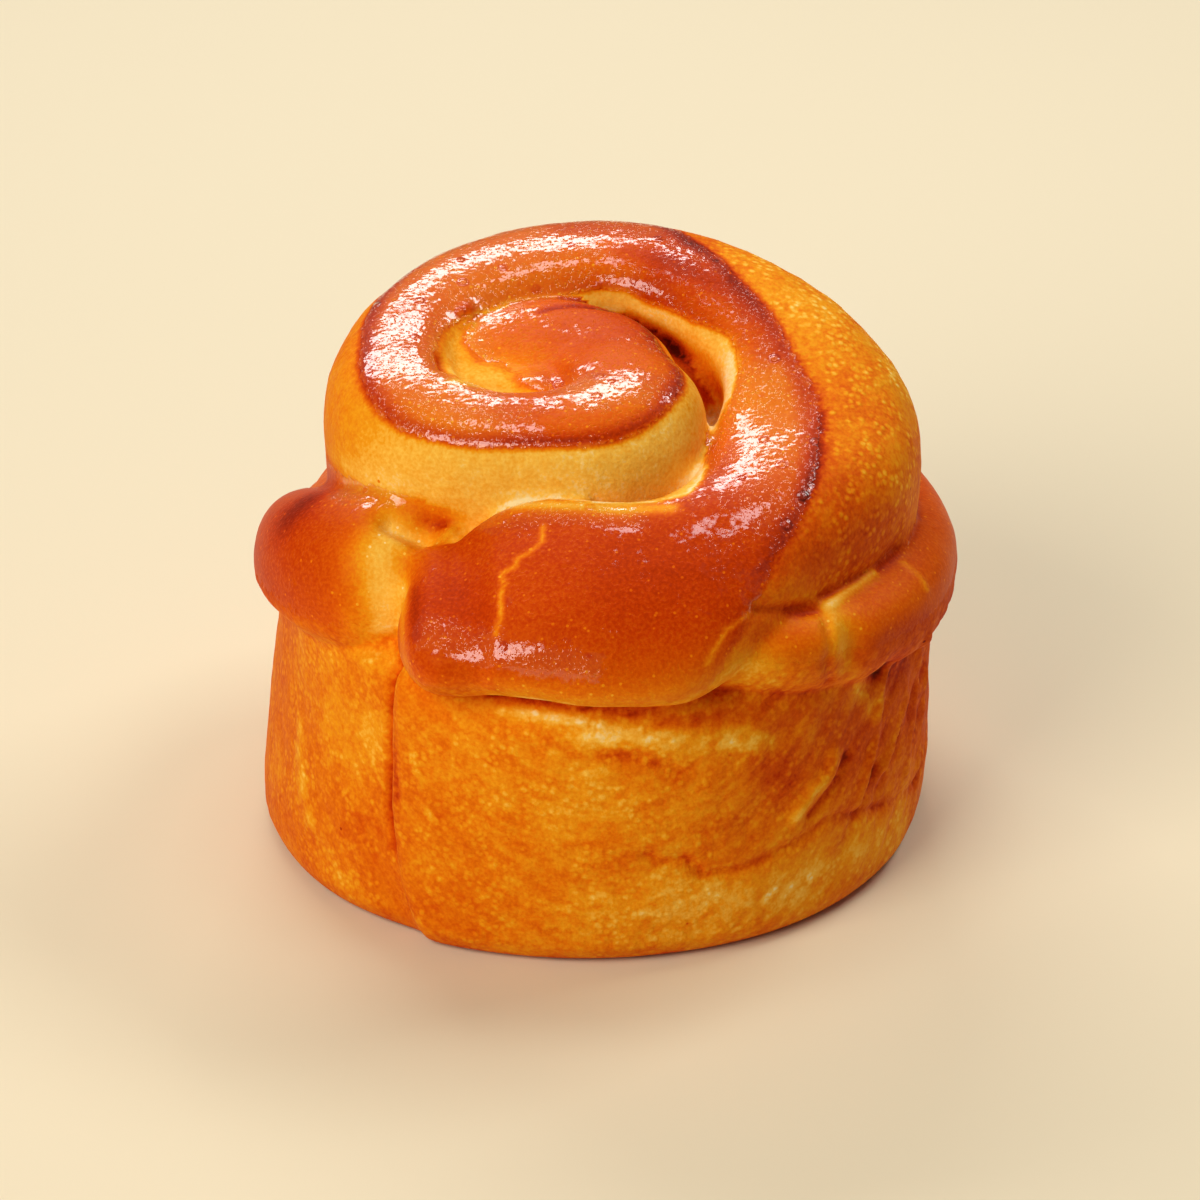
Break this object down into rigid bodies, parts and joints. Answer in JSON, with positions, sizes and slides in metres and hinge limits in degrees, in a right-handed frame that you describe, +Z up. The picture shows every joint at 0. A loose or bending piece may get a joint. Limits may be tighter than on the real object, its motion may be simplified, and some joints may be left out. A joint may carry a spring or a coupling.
{
  "type": "honey milk roll",
  "caption": "Round milk bread roll baked in a tin: straight mottled wall, glazed spiral top that winds out to a broad front lobe.",
  "frame": {"origin": "centre of the object's box at its foot, on the surface that it stands on", "axes": "+Z up; the front, where the spiral's lobe ends, faces -Y; +X to the right of it"},
  "size_m": [0.0888, 0.0892, 0.0699],
  "materials": {
    "crust": "baked bread crust, glazed and glossy on top, matte on the wall"
  },
  "bodies": {
    "root": {"milk_roll": "crust"}
  },
  "joints": []
}
